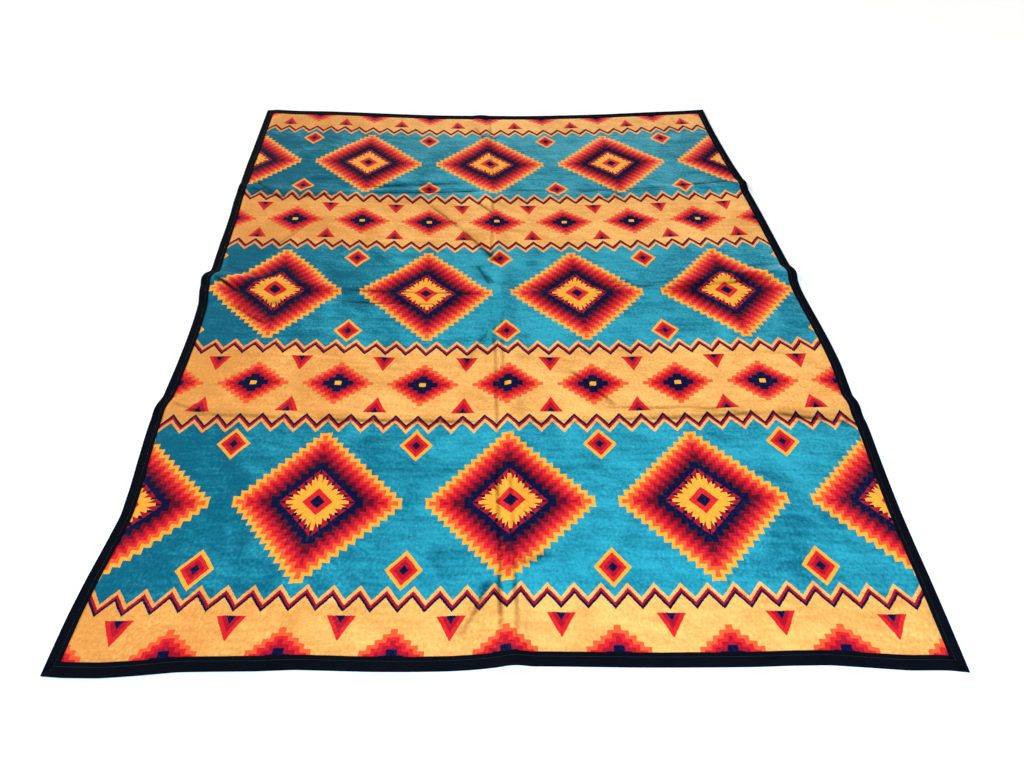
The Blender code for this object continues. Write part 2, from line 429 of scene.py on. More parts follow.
def split(tree, kind, source, names):
    """The named parts of a vector or a colour, as signals."""
    node = tree.nodes.new(kind)
    tree.links.new(source, node.inputs[0])
    return [Signal(tree, node.outputs[name]) for name in names]


class Signal:
    """One number in a shader. Plain arithmetic on signals adds Math nodes."""

    def __init__(self, tree, socket):
        self.tree = tree
        self.socket = socket

    def by(self, operation, *others):
        inputs = dict(zip(("Value", "Value_001"), (self, *others)))
        node = add_node(self.tree, "ShaderNodeMath", inputs, operation=operation)
        return Signal(self.tree, node.outputs[0])

    __add__ = partialmethod(by, "ADD")
    __sub__ = partialmethod(by, "SUBTRACT")
    __mul__ = __and__ = partialmethod(by, "MULTIPLY")
    __truediv__ = partialmethod(by, "DIVIDE")
    __lt__ = partialmethod(by, "LESS_THAN")
    __gt__ = partialmethod(by, "GREATER_THAN")
    __abs__ = partialmethod(by, "ABSOLUTE")
    floor = partialmethod(by, "FLOOR")

    def to_and_fro(self, reach):
        """Runs up to reach and back to nothing, over and over."""
        return self.by("PINGPONG", reach)

    def where(self, test, other):
        """This signal where the test holds, and the other one elsewhere."""
        return other + (self - other) * test

    def ramped(self, low, high):
        """From nothing at low to one at high, with soft ends."""
        inputs = {"Value": self, "From Min": low, "From Max": high}
        node = add_node(self.tree, "ShaderNodeMapRange", inputs, interpolation_type="SMOOTHSTEP")
        return Signal(self.tree, node.outputs["Result"])


class Finish:
    """A material in the making: its shader, and short ways to add the nodes that drive it."""

    def __init__(self, name, looks):
        self.material = bpy.data.materials.new(name)
        self.material.use_nodes = True
        self.tree = self.material.node_tree
        self.shader = self.tree.nodes["Principled BSDF"]
        for entry, value in looks.items():
            self.give(entry, value)

    def give(self, entry, value):
        feed(self.tree, self.shader.inputs[entry], value)

    def places(self, map_name=None):
        """The two coordinates of the piece's own UV map, or else of the object, in metres."""
        if map_name:
            source = add_node(self.tree, "ShaderNodeUVMap", uv_map=map_name).outputs["UV"]
        else:
            source = add_node(self.tree, "ShaderNodeTexCoord").outputs["Object"]
        return split(self.tree, "ShaderNodeSeparateXYZ", source, "XY")

    def attribute(self, name):
        source = add_node(self.tree, "ShaderNodeAttribute", attribute_name=name)
        return Signal(self.tree, source.outputs["Fac"])

    def grain(self, x, y, size, detail=2.0, distortion=0.0):
        """Noise with swings about size metres wide, as two separate signals from -1 to 1."""
        place = add_node(self.tree, "ShaderNodeCombineXYZ", {"X": x, "Y": y}).outputs[0]
        inputs = {"Vector": place, "Scale": 1 / size, "Detail": detail, "Distortion": distortion}
        node = add_node(self.tree, "ShaderNodeTexNoise", inputs, noise_dimensions="2D")
        parts = split(self.tree, "ShaderNodeSeparateColor", node.outputs["Color"], ("Red", "Green"))
        return [(part - 0.5) * 2.0 for part in parts]

    def grains(self, x, y, kinds):
        """The two signals of each kind of grain in a table, by their names."""
        marks, others = {}, {}
        for name, (drawn, slant, *swings) in kinds.items():
            marks[name], others[name] = self.grain(x * drawn, y + x * slant, *swings)
        return marks, others

    def lay(self, under, over, where):
        return mixed(self.tree, under, over, where)

    def ringed(self, under, out, colours, where=None):
        """Rings of colours in turn, from nothing to one of the signal out, laid on the colour under."""
        count = len(colours)
        ring = (out * count).floor()
        node = add_node(self.tree, "ShaderNodeValToRGB", {"Fac": (ring + 0.5) / count})
        node.color_ramp.interpolation = "CONSTANT"
        stops = node.color_ramp.elements
        stops[0].color = tuple(colours[0])
        stops.remove(stops[1])
        for number in range(1, count):
            if colours[number] is not colours[number - 1]:
                stops.new(number / count).color = tuple(colours[number])
        return self.lay(under, node.outputs["Color"], where or out < 1.0)

    def dimmed(self, colour, by):
        """A colour made darker or lighter by a signal."""
        plain = not isinstance(colour, bpy.types.NodeSocket)
        inputs = {"Vector": colour[:3] if plain else colour, "Scale": by}
        return add_node(self.tree, "ShaderNodeVectorMath", inputs, operation="SCALE").outputs[0]

    def brightness(self, colour):
        node = add_node(self.tree, "ShaderNodeRGBToBW", {"Color": colour})
        return Signal(self.tree, node.outputs[0])

    def bump(self, height, distance, strength):
        inputs = {"Height": height, "Distance": distance, "Strength": strength}
        self.give("Normal", add_node(self.tree, "ShaderNodeBump", inputs).outputs[0])


# The print, in metres. Along the cloth, fields and bands take turns from the middle to both ends.
FIELD_HALF = 0.257
BAND_HALF = 0.145
LARGE = (0.238, 0.236)  # half width and half height of a large diamond
MEDIUM = (0.112, 0.086)
SMALL = (0.046, 0.052)
LARGE_TEETH = (14, 0.085)  # how many along a side, and how deep in shares of the diamond
MEDIUM_TEETH = (7, 0.13)
PLAIN_CORE = 0.25  # share of a large diamond whose sides have no teeth
SPIKES = (0.42, 0.17, 0.2, 0.86)  # where its spikes stand, their length, spacing and fullness, in shares
SMALL_OFF = 0.182  # from the middle of a field to a small diamond
PEAK = 0.036  # height of the points along a band's edge
LINE = 0.0085  # thickness of the lines that follow the points
LINES_FROM = 0.012  # from the points to the first line
POINT = (0.034, 0.058)  # half width and height of the triangles between the medium diamonds
POINT_FOOT = 0.108  # from the middle of a band to the foot of a triangle


def diamond(x, y, size):
    """How far out a place is in a diamond, from nothing in the middle to one at its sides."""
    return x / size[0] + y / size[1]


def toothed(x, y, size, cut):
    """The same, with sides that are cut into teeth."""
    teeth, depth = cut
    round_it = x / size[0] - y / size[1]
    return diamond(x, y, size) + round_it.to_and_fro(1 / teeth) * (depth * teeth)


def printed(finish, across, along, inks, field, band):
    """The print on its two grounds: crosswise fields and bands with rows of diamonds."""
    repeat = CUT_WIDTH / inks.repeats
    row = FIELD_HALF + BAND_HALF
    y = abs(along)

    # Rows of large diamonds, and small ones between them, with every other row moved by half a repeat
    outer = y > row
    half = repeat / 2
    dx = across.to_and_fro(half).where(outer, (across + half).to_and_fro(half))
    dy = y.to_and_fro(row)
    plain = diamond(dx, dy, LARGE)
    out = toothed(dx, dy, LARGE, LARGE_TEETH).where(plain > PLAIN_CORE, plain)
    yellow, orange, red, crimson = inks.yellow, inks.orange, inks.red, inks.crimson
    rings = [inks.navy, red, yellow, yellow, yellow, inks.navy, inks.navy]
    rings += [inks.maroon, crimson, red, orange, yellow]
    colour = finish.ringed(field, out, rings)
    foot, length, apart, fullness = SPIKES
    turn = (dx / LARGE[0] - dy / LARGE[1]) / plain
    inward = (plain * -1.0 + foot) / length
    spikes = (inward > 0.0) & (turn.to_and_fro(apart) / apart + inward < fullness)
    colour = finish.lay(colour, crimson, spikes)
    between = diamond(dx * -1.0 + half, abs(dy - SMALL_OFF), SMALL)
    colour = finish.ringed(colour, between, [inks.navy, crimson, red, yellow])

    # Tan bands with points along their edges, and two lines that follow the points
    pitch = repeat / 8
    point = ((across + pitch / 2).to_and_fro(pitch / 2) * (-2 / pitch) + 1.0) * PEAK
    into_band = dy - FIELD_HALF + point
    colour = finish.lay(colour, band, into_band > 0.0)
    over = (into_band - LINES_FROM) / (LINE * 2)
    colour = finish.ringed(colour, over, [crimson, inks.navy], (over > 0.0) & (over < 1.0))

    # Medium diamonds along the middle of each band, tip to tip, with triangles between them
    quarter = repeat / 4
    bx = across.to_and_fro(quarter)
    by = dy * -1.0 + row
    medium = toothed(bx, by, MEDIUM, MEDIUM_TEETH)
    colour = finish.ringed(colour, medium, [yellow, inks.navy, inks.navy, crimson, red, orange])
    rise = (by * -1.0 + POINT_FOOT) / POINT[1]
    edge = rise + (bx * -1.0 + quarter) / POINT[0]
    return finish.ringed(colour, edge, [inks.navy, crimson, red], (rise > 0.0) & (edge < 1.0))


# Grains from wide to fine: scale across, which draws out a grain when under one, slant, width of the
# swings in metres, detail and distortion
PILE_GRAINS = {
    "patches": (1.0, 0.0, 0.20, 5.0, 0.8),
    "strokes": (0.45, 0.3, 30 * MM, 4.0, 0.6),
    "rows": (0.08, 0.0, 12 * MM, 3.0),
    "tufts": (1.0, 0.0, 8 * MM, 2.0),
    "fibres": (1.0, 0.0, 2.2 * MM, 2.0),
}
TAPE_GRAINS = {
    "clouds": (1.0, 0.0, 60 * MM, 3.0),
    "slubs": (0.08, 0.0, 2.5 * MM, 2.0),
    "lint": (1.0, 0.0, 3.5 * MM, 3.0, 1.0),
}

# How much each mark counts in the grounds' lit share, which is painted light and shade, in how light or high
# a finish is, or how worn
LIT_SHARE_MARKS = {"patches": 0.65, "strokes": 0.42, "rows": 0.32, "tufts": 0.36, "crease_shade": -0.8}
PILE_LIGHTNESS = {"patches": 0.08, "strokes": 0.12, "rows": 0.08, "tufts": 0.13, "fibres": 0.18}
PAINTED_LIGHTNESS = {"painted_sheen": 0.24, "groove_dip_and_shade": -0.6, "lip_highlight": 0.2, "crease_shade": -0.16}
PILE_RELIEF = {"fibres": 0.5, "tufts": 0.9, "strokes": 0.6, "groove_dip_and_shade": -1.2}
TAPE_LIGHTNESS = {"ribs": 0.35, "threads": 0.2, "clouds": 0.25, "slubs": 0.35}
TAPE_RELIEF = {"ribs": 0.8, "threads": 0.4, "slubs": 0.5}
TAPE_WORN = {"lint": 0.15, "fold": 0.08}

LIGHTEST_AT = 0.30  # across: the painted light is brightest here, and painted shade darkens to both sides
LIGHTEST_SHARE = 0.27  # the lit share there
SHADE_FALLOFF = 0.60  # how much less it is a metre from there
PRINT_WAVER = ((2.4 * MM, 1.6 * MM), (30 * MM, 1.4 * MM))  # width of the swings, and how far they go
GROOVE = 9 * MM  # half width of the painted shade and the dip along a crease's line
LIP_HIGHLIGHTS = (11 * MM, 5 * MM)  # where the painted highlight stands beside it, and half the width of that
STRAY = 2 * MM  # how far the crease's line strays
# How far the painted sheen speckles are paled towards the pale pile colour
PAINTED_SHEEN_PALER = 0.02
UNDERSIDE_PALER = 0.45
BRIGHT_INK = 0.22  # brightness from which an ink has its whole sheen
SHEEN = (0.3, 0.5)  # where the grounds show their shaded copy, and what it gains where they show their lit copy
THREAD_STEP = 0.3  # half width of a thread of the weave, in ribs
THREAD_SHIFT = 0.45  # how far each rib's threads are moved on from the last one's, in ribs
LINT = screen_colour(30, 32, 40)


def summed(marks, weights):
    """The named marks added up, each as strong as its weight."""
    total, *others = [marks[name] * weight for name, weight in weights.items()]
    for other in others:
        total = total + other
    return total


def plush_finish(inks):
    """Printed plush pile: brushed grounds with painted light and shade, soft edges between the inks, and
    painted shade and highlights along creases.
    """
    looks = {"Roughness": 0.9, "Sheen Roughness": 0.3, "Specular IOR Level": 0.04}
    finish = Finish("printed plush", {**looks, "Sheen Tint": (1.0, 0.85, 0.68, 1.0)})
    across, along = finish.places("cut")
    marks, others = finish.grains(across, along, PILE_GRAINS)
    # Painted shade beside the creases: the ground turns to its shaded copy and darkens there
    marks["crease_shade"] = finish.attribute("crease_shade")

    # The print is laid on lit and shaded copies of its grounds, as painted light and shade: lightest a
    # little right of the middle, darker to both sides, and patchy with the pile's marks
    away = across - LIGHTEST_AT
    lit_share = (summed(marks, LIT_SHARE_MARKS) - away * away * SHADE_FALLOFF + LIGHTEST_SHARE).ramped(-0.7, 0.7)
    field = finish.lay(inks.field, inks.lit_field, lit_share)
    band = finish.lay(inks.band, inks.lit_band, lit_share)
    print_x, print_y = across, along
    for size, reach in PRINT_WAVER:
        to_right, to_far = finish.grain(across, along, size, detail=1.0)
        print_x = print_x + to_right * reach
        print_y = print_y + to_far * reach
    colour = printed(finish, print_x, print_y, inks, field, band)

    # Painted shade and a dip along a crease's line, and painted highlights beside it; a ridge has them the
    # other way round
    off = abs(finish.attribute("crease_off") + others["strokes"] * STRAY)
    line_shade = finish.attribute("line_shade")
    marks["groove_dip_and_shade"] = (off / GROOVE).ramped(1.0, 0.0) * line_shade
    marks["lip_highlight"] = (abs(off - LIP_HIGHLIGHTS[0]) / LIP_HIGHLIGHTS[1]).ramped(1.0, 0.0) * line_shade
    # Painted sheen: pale, lighter speckles where the pile glints
    marks["painted_sheen"] = others["tufts"].ramped(-0.2, 0.6) * others["patches"].ramped(-0.5, 0.5)
    light = summed(marks, PILE_LIGHTNESS) + summed(marks, PAINTED_LIGHTNESS) + 1.0
    colour = finish.dimmed(colour, light)
    colour = finish.lay(colour, inks.pale, marks["painted_sheen"] * PAINTED_SHEEN_PALER)
    colour = finish.lay(colour, inks.pale, finish.attribute("underside") * UNDERSIDE_PALER)
    finish.give("Base Color", colour)

    # Bright inks have a sheen, and more of it where the grounds show their lit copy
    flat, gain = SHEEN
    sheen = finish.brightness(colour).ramped(0.0, BRIGHT_INK) * (lit_share * gain + flat)
    finish.give("Sheen Weight", sheen)
    finish.give("Roughness", marks["patches"] * 0.05 + 0.88)
    finish.bump(summed(marks, PILE_RELIEF), 0.9 * MM, strength=0.9)
    return finish.material


def tape_finish(colour, rib):
    """Matt woven tape with ribs across it, a little lint, and a worn outer fold."""
    finish = Finish("binding tape", {"Roughness": 0.85, "Specular IOR Level": 0.01})
    run, round_it = finish.places("tape")
    marks, _ = finish.grains(run, round_it, TAPE_GRAINS)
    step = rib * THREAD_STEP
    marks["ribs"] = run.to_and_fro(rib / 2) / (rib / 2)
    marks["threads"] = (round_it + (run / rib).floor() * (rib * THREAD_SHIFT)).to_and_fro(step) / step
    marks["lint"] = marks["lint"].ramped(0.42, 0.8)
    marks["fold"] = finish.attribute("fold")
    shade = finish.dimmed(colour, summed(marks, TAPE_LIGHTNESS) + 0.75)
    finish.give("Base Color", finish.lay(shade, LINT, summed(marks, TAPE_WORN)))
    finish.give("Roughness", marks["slubs"] * 0.06 + 0.85)
    finish.bump(summed(marks, TAPE_RELIEF), 0.25 * MM, strength=0.8)
    return finish.material


def thread_finish(colour):
    """Twisted sewing thread, a little glossier than the tape."""
    looks = {"Roughness": 0.55, "Sheen Weight": 0.1, "Specular IOR Level": 0.4}
    finish = Finish("binding thread", looks)
    twist, _ = finish.grain(*finish.places(), 0.5 * MM, detail=1.0)
    finish.give("Base Color", finish.dimmed(colour, twist * 0.4 + 1.0))
    finish.give("Roughness", twist * 0.1 + 0.55)
    finish.bump(twist, 0.08 * MM, strength=0.6)
    return finish.material


def floor_finish(colour):
    """A pale matt floor with the faintest cloudiness."""
    finish = Finish("pale floor", {"Roughness": 0.85, "Specular IOR Level": 0.1})
    clouds, _ = finish.grain(*finish.places(), 0.8)
    finish.give("Base Color", finish.dimmed(colour, clouds * 0.01 + 1.0))
    return finish.material


def edge_heights(cloth, binding):
    """The bound edge from the ground up: the cloth's underside, the cloth's top and the tape's top."""
    low = binding.tape + GAP
    high = low + cloth.pinched
    return low, high, high + GAP + binding.tape


def panel_face(inset, mouth, puff, free, pinched):
    """A face's height: pinched under the tape, and free past the puff beside it."""
    return pinched + (free - pinched) * smooth((inset - mouth) / puff)


def make_panel(scene):
    cloth, binding = scene.blanket_cloth, scene.blanket_binding
    mouth = binding.width + GAP
    layout = Layout(binding.width + cloth.puff)
    puffs = [mouth + cloth.puff * share for share in PUFF_LINES]
    insets = [binding.tape + GAP, binding.width - LAST_UNDER, *puffs]
    acrosses = grid_lines(HALF_WIDTH, insets, FINE_ZONES_ACROSS, cloth)
    alongs = grid_lines(HALF_LENGTH, insets, FINE_ZONES_ALONG, cloth)
    across, along = np.meshgrid(acrosses, alongs)
    x, y = layout.on_ground(across, along)
    lift = layout.lift(across, along)
    inset = np.minimum(HALF_WIDTH - abs(across), HALF_LENGTH - abs(along))
    low_edge, high_edge, _ = edge_heights(cloth, binding)
    free = smooth((inset - mouth) / (RELIEF_RISE * cloth.puff))
    creases, crease_shade, crease_off, line_shade = crease_relief(x, y)
    uneven = waver(x, y, *FINE_SWELL) + waver(x, y, *BROAD_SWELL)
    relief = free * (creases * cloth.crease_depth + uneven * cloth.unevenness)
    top = lift + panel_face(inset, mouth, cloth.puff, cloth.plush, high_edge) + relief
    low = lift + panel_face(inset, mouth, cloth.puff, 0.0, low_edge)
    top = np.maximum(top, low + THINNEST * cloth.pinched)

    # The underside has every second grid line of the top, and one ring of walls joins the two.
    rows, columns = across.shape
    half_rows, half_columns = rows // 2 + 1, columns // 2 + 1
    count = rows * columns
    under = grid_faces(half_rows, half_columns, count)[:, ::-1].tolist()
    top_rim, low_rim = rim(rows, columns), rim(half_rows, half_columns) + count
    walls = []
    for i, corner in enumerate(low_rim):
        far = (i + 1) % len(low_rim)
        above = [top_rim[2 * i], top_rim[2 * i + 1], top_rim[(2 * i + 2) % len(top_rim)]]
        walls.append([*above[::-1], corner, low_rim[far]])
    faces = grid_faces(rows, columns).tolist() + under + walls

    def both(upper, lower):
        """One value for each point: the top's, then every second one of the underside's."""
        return np.concatenate([upper.ravel(), lower[::2, ::2].ravel()])

    points = np.stack([both(x, x), both(y, y), both(top, low)], axis=-1)
    piece = new_piece("plush_cloth", points, faces, plush_finish(scene.blanket_print))
    add_map(piece.data, "cut", both(across, across), both(along, along))
    nothing = np.zeros_like(free)
    # Painted shade beside the creases, and painted shade or highlight along their lines, on the top only
    add_attribute(piece.data, "crease_shade", both(crease_shade * free, nothing))
    add_attribute(piece.data, "crease_off", both(crease_off, crease_off))
    add_attribute(piece.data, "line_shade", both(line_shade * free, nothing))
    add_attribute(piece.data, "underside", both(nothing, nothing + 1.0))
    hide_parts("plush_panel")


def half_thickness(inset, middle, binding):
    """From the bound edge's middle out to the tape's skin, with a round fold and lip and the seam's dip."""
    lip = LIP * binding.tape
    fold = np.sqrt(np.maximum(0.0, middle**2 - np.maximum(0.0, middle - inset) ** 2))
    into_lip = np.maximum(0.0, inset - (binding.width - lip))
    rolled = lip - np.sqrt(np.maximum(0.0, lip**2 - into_lip**2))
    seam = binding.seam_dip * np.exp(-(((inset - binding.seam_inset) / SEAM_REACH) ** 2))
    return fold - rolled - seam


def tape_section(middle, binding):
    """The folded tape's section, once round: how far in from the edge and how high each corner is."""
    width, seam, lip = binding.width, binding.seam_inset, LIP * binding.tape
    quarter = np.radians(np.arange(0, 91, 15))
    skin = np.concatenate(
        [
            middle * (1 - np.cos(quarter)),  # the rounded fold
            np.array((5, 8, 12, 16)) * MM,  # the flat beside it
            seam + np.array((-3, -1.8, -0.9, 0, 0.9, 1.8, 3)) * MM,  # the dip of the seam
            [width - 4 * MM],
            width - lip + lip * np.sin(np.radians((0, 30, 60, 90))),  # the rolled lip
        ]
    )
    away = half_thickness(skin, middle, binding)
    inside = middle - binding.tape
    insets = [*skin[::-1], *skin[1:], width, binding.tape, binding.tape, width]
    heights = [*(middle - away[::-1]), *(middle + away[1:])]
    heights += [middle + inside, middle + inside, middle - inside, middle - inside]
    return np.array(insets), np.array(heights)


def make_strip(scene, name, lengthwise, side, skin):
    cloth, binding = scene.blanket_cloth, scene.blanket_binding
    layout = Layout(binding.width + cloth.puff)
    half_run = HALF_LENGTH if lengthwise else HALF_WIDTH
    half_off = HALF_WIDTH if lengthwise else HALF_LENGTH
    middle = edge_heights(cloth, binding)[2] / 2
    insets, heights = tape_section(middle, binding)
    inner = half_run - binding.width - END_GAP
    stations = np.linspace(-inner, inner, round(2 * inner / binding.cell))
    mitred = half_run - insets - MITRE
    runs = np.vstack([-mitred, np.repeat(stations[:, None], len(insets), axis=1), mitred])

    def strays(size, seed, height):
        return waver(runs, runs * 0, size, seed + 2 * lengthwise + side, height)

    pulled = strays(*FINE_PULL) + strays(*BROAD_PULL)
    edge_pull = (insets / binding.width) ** 3 * pulled * binding.waver
    offs = side * (half_off - insets - edge_pull)
    across, along = (offs, runs) if lengthwise else (runs, offs)
    x, y = layout.on_ground(across, along)
    on_top = heights > middle + (middle - binding.tape) / 2
    near_seam = bell(insets - binding.seam_inset, PUCKER_REACH) * on_top
    z = layout.lift(across, along) + heights - np.maximum(0.0, strays(*PUCKERS)) * near_seam

    rings, corners = runs.shape
    start = np.arange(rings - 1)[:, None] * corners
    now, following = np.arange(corners), np.roll(np.arange(corners), -1)
    sides = np.stack(
        [start + now, start + following, start + corners + following, start + corners + now], axis=-1
    )
    caps = [list(range(corners)), list(range((rings - 1) * corners, rings * corners))]
    faces = sides.reshape(-1, 4).tolist() + caps
    piece = new_piece(name + "_tape", np.dstack([x, y, z]), faces, skin)
    for cap in piece.data.polygons[-2:]:
        cap.use_smooth = False
    steps = np.hypot(np.diff(insets, prepend=insets[0]), np.diff(heights, prepend=heights[0]))
    add_map(piece.data, "tape", runs, np.tile(np.cumsum(steps), (rings, 1)))
    fold = bell(insets, FOLD_REACH) * (LEAST_WORN + np.maximum(0.0, strays(*FOLD_WEAR)))
    add_attribute(piece.data, "fold", fold)
    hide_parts(name)


def seam_path(scene):
    """The two closed stitch lines, on top of the binding and under it, as an object of bare edges."""
    cloth, binding = scene.blanket_cloth, scene.blanket_binding
    layout = Layout(binding.width + cloth.puff)
    half_x, half_y = HALF_WIDTH - binding.seam_inset, HALF_LENGTH - binding.seam_inset
    to_right = np.linspace(-half_x, half_x, round(2 * half_x / binding.cell))[:-1]
    to_far = np.linspace(-half_y, half_y, round(2 * half_y / binding.cell))[:-1]
    across = np.concatenate([to_right, to_far * 0 + half_x, -to_right, to_far * 0 - half_x])
    along = np.concatenate([to_right * 0 - half_y, to_far, to_right * 0 + half_y, -to_far])
    x, y = layout.on_ground(across, along)
    middle = edge_heights(cloth, binding)[2] / 2
    away = half_thickness(np.array(binding.seam_inset), middle, binding)
    away += (0.5 - STITCH_SUNK) * binding.thread
    lift = layout.lift(across, along)
    points = [np.stack([x, y, lift + middle + away * way], axis=-1) for way in (1, -1)]
    count = len(across)
    ring = [(i, (i + 1) % count) for i in range(count)]
    mesh = bpy.data.meshes.new("seam path")
    edges = ring + [(a + count, b + count) for a, b in ring]
    mesh.from_pydata(np.concatenate(points).tolist(), edges, [])
    return placed("seam path", mesh)


def stitch_tree():
    """Geometry nodes that sew a row of stitches along every line of edges that they are given."""
    tree = bpy.data.node_groups.new("sewn stitches", "GeometryNodeTree")
    entries = (
        ("Seam", "NodeSocketGeometry"),
        ("Pitch", "NodeSocketFloat"),
        ("Stitch Length", "NodeSocketFloat"),
        ("Thread", "NodeSocketFloat"),
        ("Seed", "NodeSocketInt"),
        ("Thread Finish", "NodeSocketMaterial"),
    )
    for name, kind in entries:
        tree.interface.new_socket(name, in_out="INPUT", socket_type=kind)
    tree.interface.new_socket("Stitches", in_out="OUTPUT", socket_type="NodeSocketGeometry")

    given = add_node(tree, "NodeGroupInput").outputs
    line = add_node(tree, "GeometryNodeMeshToCurve", {"Mesh": given["Seam"]})
    inputs = {"Curve": line.outputs["Curve"], "Length": given["Pitch"]}
    spots = add_node(tree, "GeometryNodeCurveToPoints", inputs, mode="LENGTH").outputs
    ball = {"Segments": 6, "Rings": 4, "Radius": 0.5}
    stitch = add_node(tree, "GeometryNodeMeshUVSphere", ball).outputs["Mesh"]
    sizes = {"X": given["Thread"], "Y": given["Thread"], "Z": given["Stitch Length"]}
    shape = add_node(tree, "ShaderNodeCombineXYZ", sizes).outputs[0]
    inputs = {"Min_001": STITCH_SIZES[0], "Max_001": STITCH_SIZES[1], "Seed": given["Seed"]}
    varied = add_node(tree, "FunctionNodeRandomValue", inputs, data_type="FLOAT")
    inputs = {"Vector": shape, "Scale": output(varied, "Value_001")}
    scale = add_node(tree, "ShaderNodeVectorMath", inputs, operation="SCALE").outputs[0]
    places = {"Points": spots["Points"], "Rotation": spots["Rotation"]}
    sewn = add_node(tree, "GeometryNodeInstanceOnPoints", {**places, "Instance": stitch, "Scale": scale})
    real = add_node(tree, "GeometryNodeRealizeInstances", {"Geometry": sewn.outputs[0]})
    inputs = {"Geometry": real.outputs[0], "Material": given["Thread Finish"]}
    dressed = add_node(tree, "GeometryNodeSetMaterial", inputs)
    add_node(tree, "NodeGroupOutput", {"Stitches": dressed.outputs[0]})
    return tree


def make_stitches(scene):
    binding = scene.blanket_binding
    path = seam_path(scene)
    modifier = path.modifiers.new("stitches", "NODES")
    modifier.node_group = stitch_tree()
    values = {
        "Pitch": binding.stitch_pitch,
        "Stitch Length": binding.stitch_length,
        "Thread": binding.thread,
        "Seed": 4,
        "Thread Finish": thread_finish(binding.thread_colour),
    }
    for socket in modifier.node_group.interface.items_tree:
        if socket.name in values:
            modifier[socket.identifier] = values[socket.name]
    evaluated = path.evaluated_get(bpy.context.evaluated_depsgraph_get())
    mesh = bpy.data.meshes.new_from_object(evaluated)
    mesh.name = "binding_stitches"
    mesh.shade_smooth()
    bpy.data.objects.remove(path)
    piece = placed("binding_stitches", mesh)
    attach(piece, "root")


# The photograph's viewpoint, fitted to the blanket's corners and sides
CAMERA_AT = (-0.0712, -1.5667, 1.4396)
CAMERA_TURNS = (("Z", 0.60), ("X", 90 - 51.0), ("Z", -0.20))  # in degrees: aside, down and rolled
CAMERA_LENS = 21.95
CAMERA_SHIFT = 0.039


def add_camera():
    """A wide lens at standing height, near the blanket's near edge."""
    camera = bpy.data.cameras.new("camera")
    camera.sensor_width = 36.0
    camera.lens = CAMERA_LENS
    camera.shift_x = CAMERA_SHIFT
    camera.clip_end = 60.0
    viewer = placed("camera", camera)
    place = Matrix.Translation(CAMERA_AT)
    for axis, degrees in CAMERA_TURNS:
        place = place @ Matrix.Rotation(math.radians(degrees), 4, axis)
    viewer.matrix_world = place
    bpy.context.scene.camera = viewer


def add_lamp(name, kind, place, **settings):
    """A soft light that faces the blanket's middle."""
    lamp = bpy.data.lights.new(name, kind)
    for entry, value in settings.items():
        setattr(lamp, entry, value)
    facing = Vector(place).to_track_quat("Z", "Y").to_matrix().to_4x4()
    placed(name, lamp).matrix_world = Matrix.Translation(place) @ facing


FLOOR_SIDES = 96
HORIZON = (0.94, 0.94, 0.93, 1.0)
OVERHEAD_TINT = (1.0, 0.975, 0.92)
WINDOW_AT = (-4.2, 4.4, 2.1)
WINDOW = {"angle": math.radians(14), "color": (1.0, 0.985, 0.935)}
ROOM_LIGHT_AT = (0.5, -2.4, 2.0)
ROOM_LIGHT = {"size": 1.8, "color": (0.52, 0.75, 1.0)}


def pale_room(strength):
    """Surroundings that are as white as the floor round the horizon, and dimmer and warmer overhead."""
    world = bpy.data.worlds.new("pale room")
    world.use_nodes = True
    tree = world.node_tree
    way = add_node(tree, "ShaderNodeTexCoord").outputs["Generated"]
    (height,) = split(tree, "ShaderNodeSeparateXYZ", way, "Z")
    overhead = [strength * part for part in OVERHEAD_TINT]
    shade = mixed(tree, HORIZON, (*overhead, 1.0), height.ramped(0.02, 0.40))
    feed(tree, tree.nodes["Background"].inputs["Color"], shade)
    return world


def make_floor(looks):
    turns = np.arange(FLOOR_SIDES) / FLOOR_SIDES * math.tau
    points = np.stack([np.cos(turns), np.sin(turns), turns * 0], axis=-1) * looks.floor_width / 2
    mesh = bpy.data.meshes.new("floor")
    mesh.from_pydata(points.tolist(), [], [list(range(FLOOR_SIDES))])
    mesh.materials.append(floor_finish(looks.floor_colour))
    placed("floor", mesh)


def make_stage(scene):
    looks = scene.blanket_stage
    add_camera()
    make_floor(looks)
    add_lamp("window light", "SUN", WINDOW_AT, energy=looks.window_light, **WINDOW)
    add_lamp("room light", "AREA", ROOM_LIGHT_AT, energy=looks.room_power, **ROOM_LIGHT)
    scene.world = pale_room(looks.surroundings)
    scene.view_settings.view_transform = "Standard"


def number_setting(name, description, default, **more):
    return FloatProperty(name=name, description=description, default=default, **more)


def length_setting(name, description, default):
    return number_setting(name, description, default, unit="LENGTH", precision=4)


def colour_setting(name, description, screen):
    more = {"subtype": "COLOR", "size": 4, "min": 0.0, "max": 1.0}
    return FloatVectorProperty(
        name=name, description=description, default=screen_colour(*screen), **more
    )


class BlanketCloth(PropertyGroup):
    plush: length_setting("Plush", "Thickness of the cloth with its pile", 6.0 * MM)
    pinched: length_setting("Pinched", "Thickness of the cloth under the binding", 2.6 * MM)
    puff: length_setting("Puff", "Width over which the pile rises beside the tape", 13 * MM)
    fine_cell: length_setting("Fine Cell", "Mesh spacing where the folds cross", 5.0 * MM)
    wide_cell: length_setting("Wide Cell", "Mesh spacing elsewhere", 9.0 * MM)
    unevenness: length_setting("Unevenness", "How far the pile's top swells and dips", 0.7 * MM)
    crease_depth: number_setting("Crease Depth", "Scales the hand-placed creases", 1.4, min=0.0)


